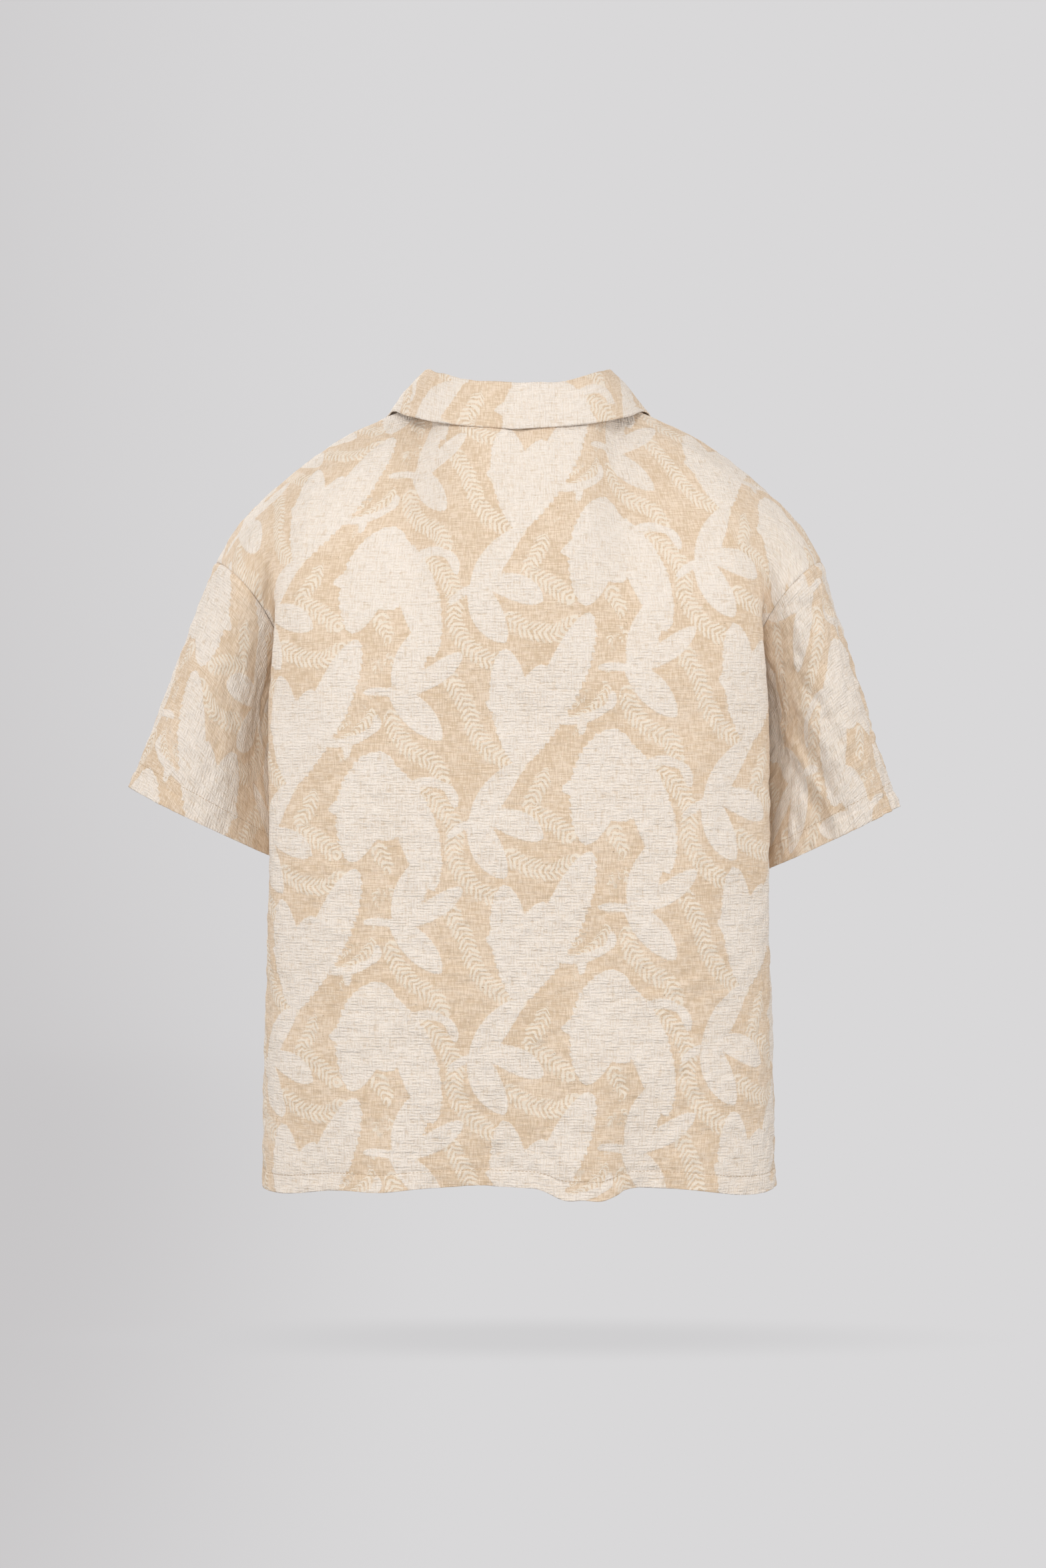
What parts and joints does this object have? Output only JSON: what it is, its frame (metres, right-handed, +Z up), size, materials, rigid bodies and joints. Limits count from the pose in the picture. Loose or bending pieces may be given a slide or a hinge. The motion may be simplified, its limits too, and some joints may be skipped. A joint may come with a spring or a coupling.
{
  "type": "short-sleeved shirt",
  "caption": "Boxy short-sleeved shirt with an open camp collar and a buttoned front, filled out as if worn and open at the neck, hem and cuffs.",
  "frame": {"origin": "where the wearer's shoulders carry the shirt, midway between the two neck points", "axes": "+Z up, -Y towards the front of the shirt, +X towards the wearer's left"},
  "size_m": [0.7162, 0.2517, 0.7585],
  "materials": {
    "cloth": "matte woven cloth",
    "button": "satin"
  },
  "bodies": {
    "root": {"back": "cloth", "front_left": "cloth", "front_right": "cloth", "sleeve_left": "cloth", "sleeve_right": "cloth", "collar": "cloth", "revers_left": "cloth", "revers_right": "cloth", "button_1": "button", "button_2": "button", "button_3": "button", "button_4": "button", "button_5": "button", "button_6": "button"}
  },
  "joints": []
}
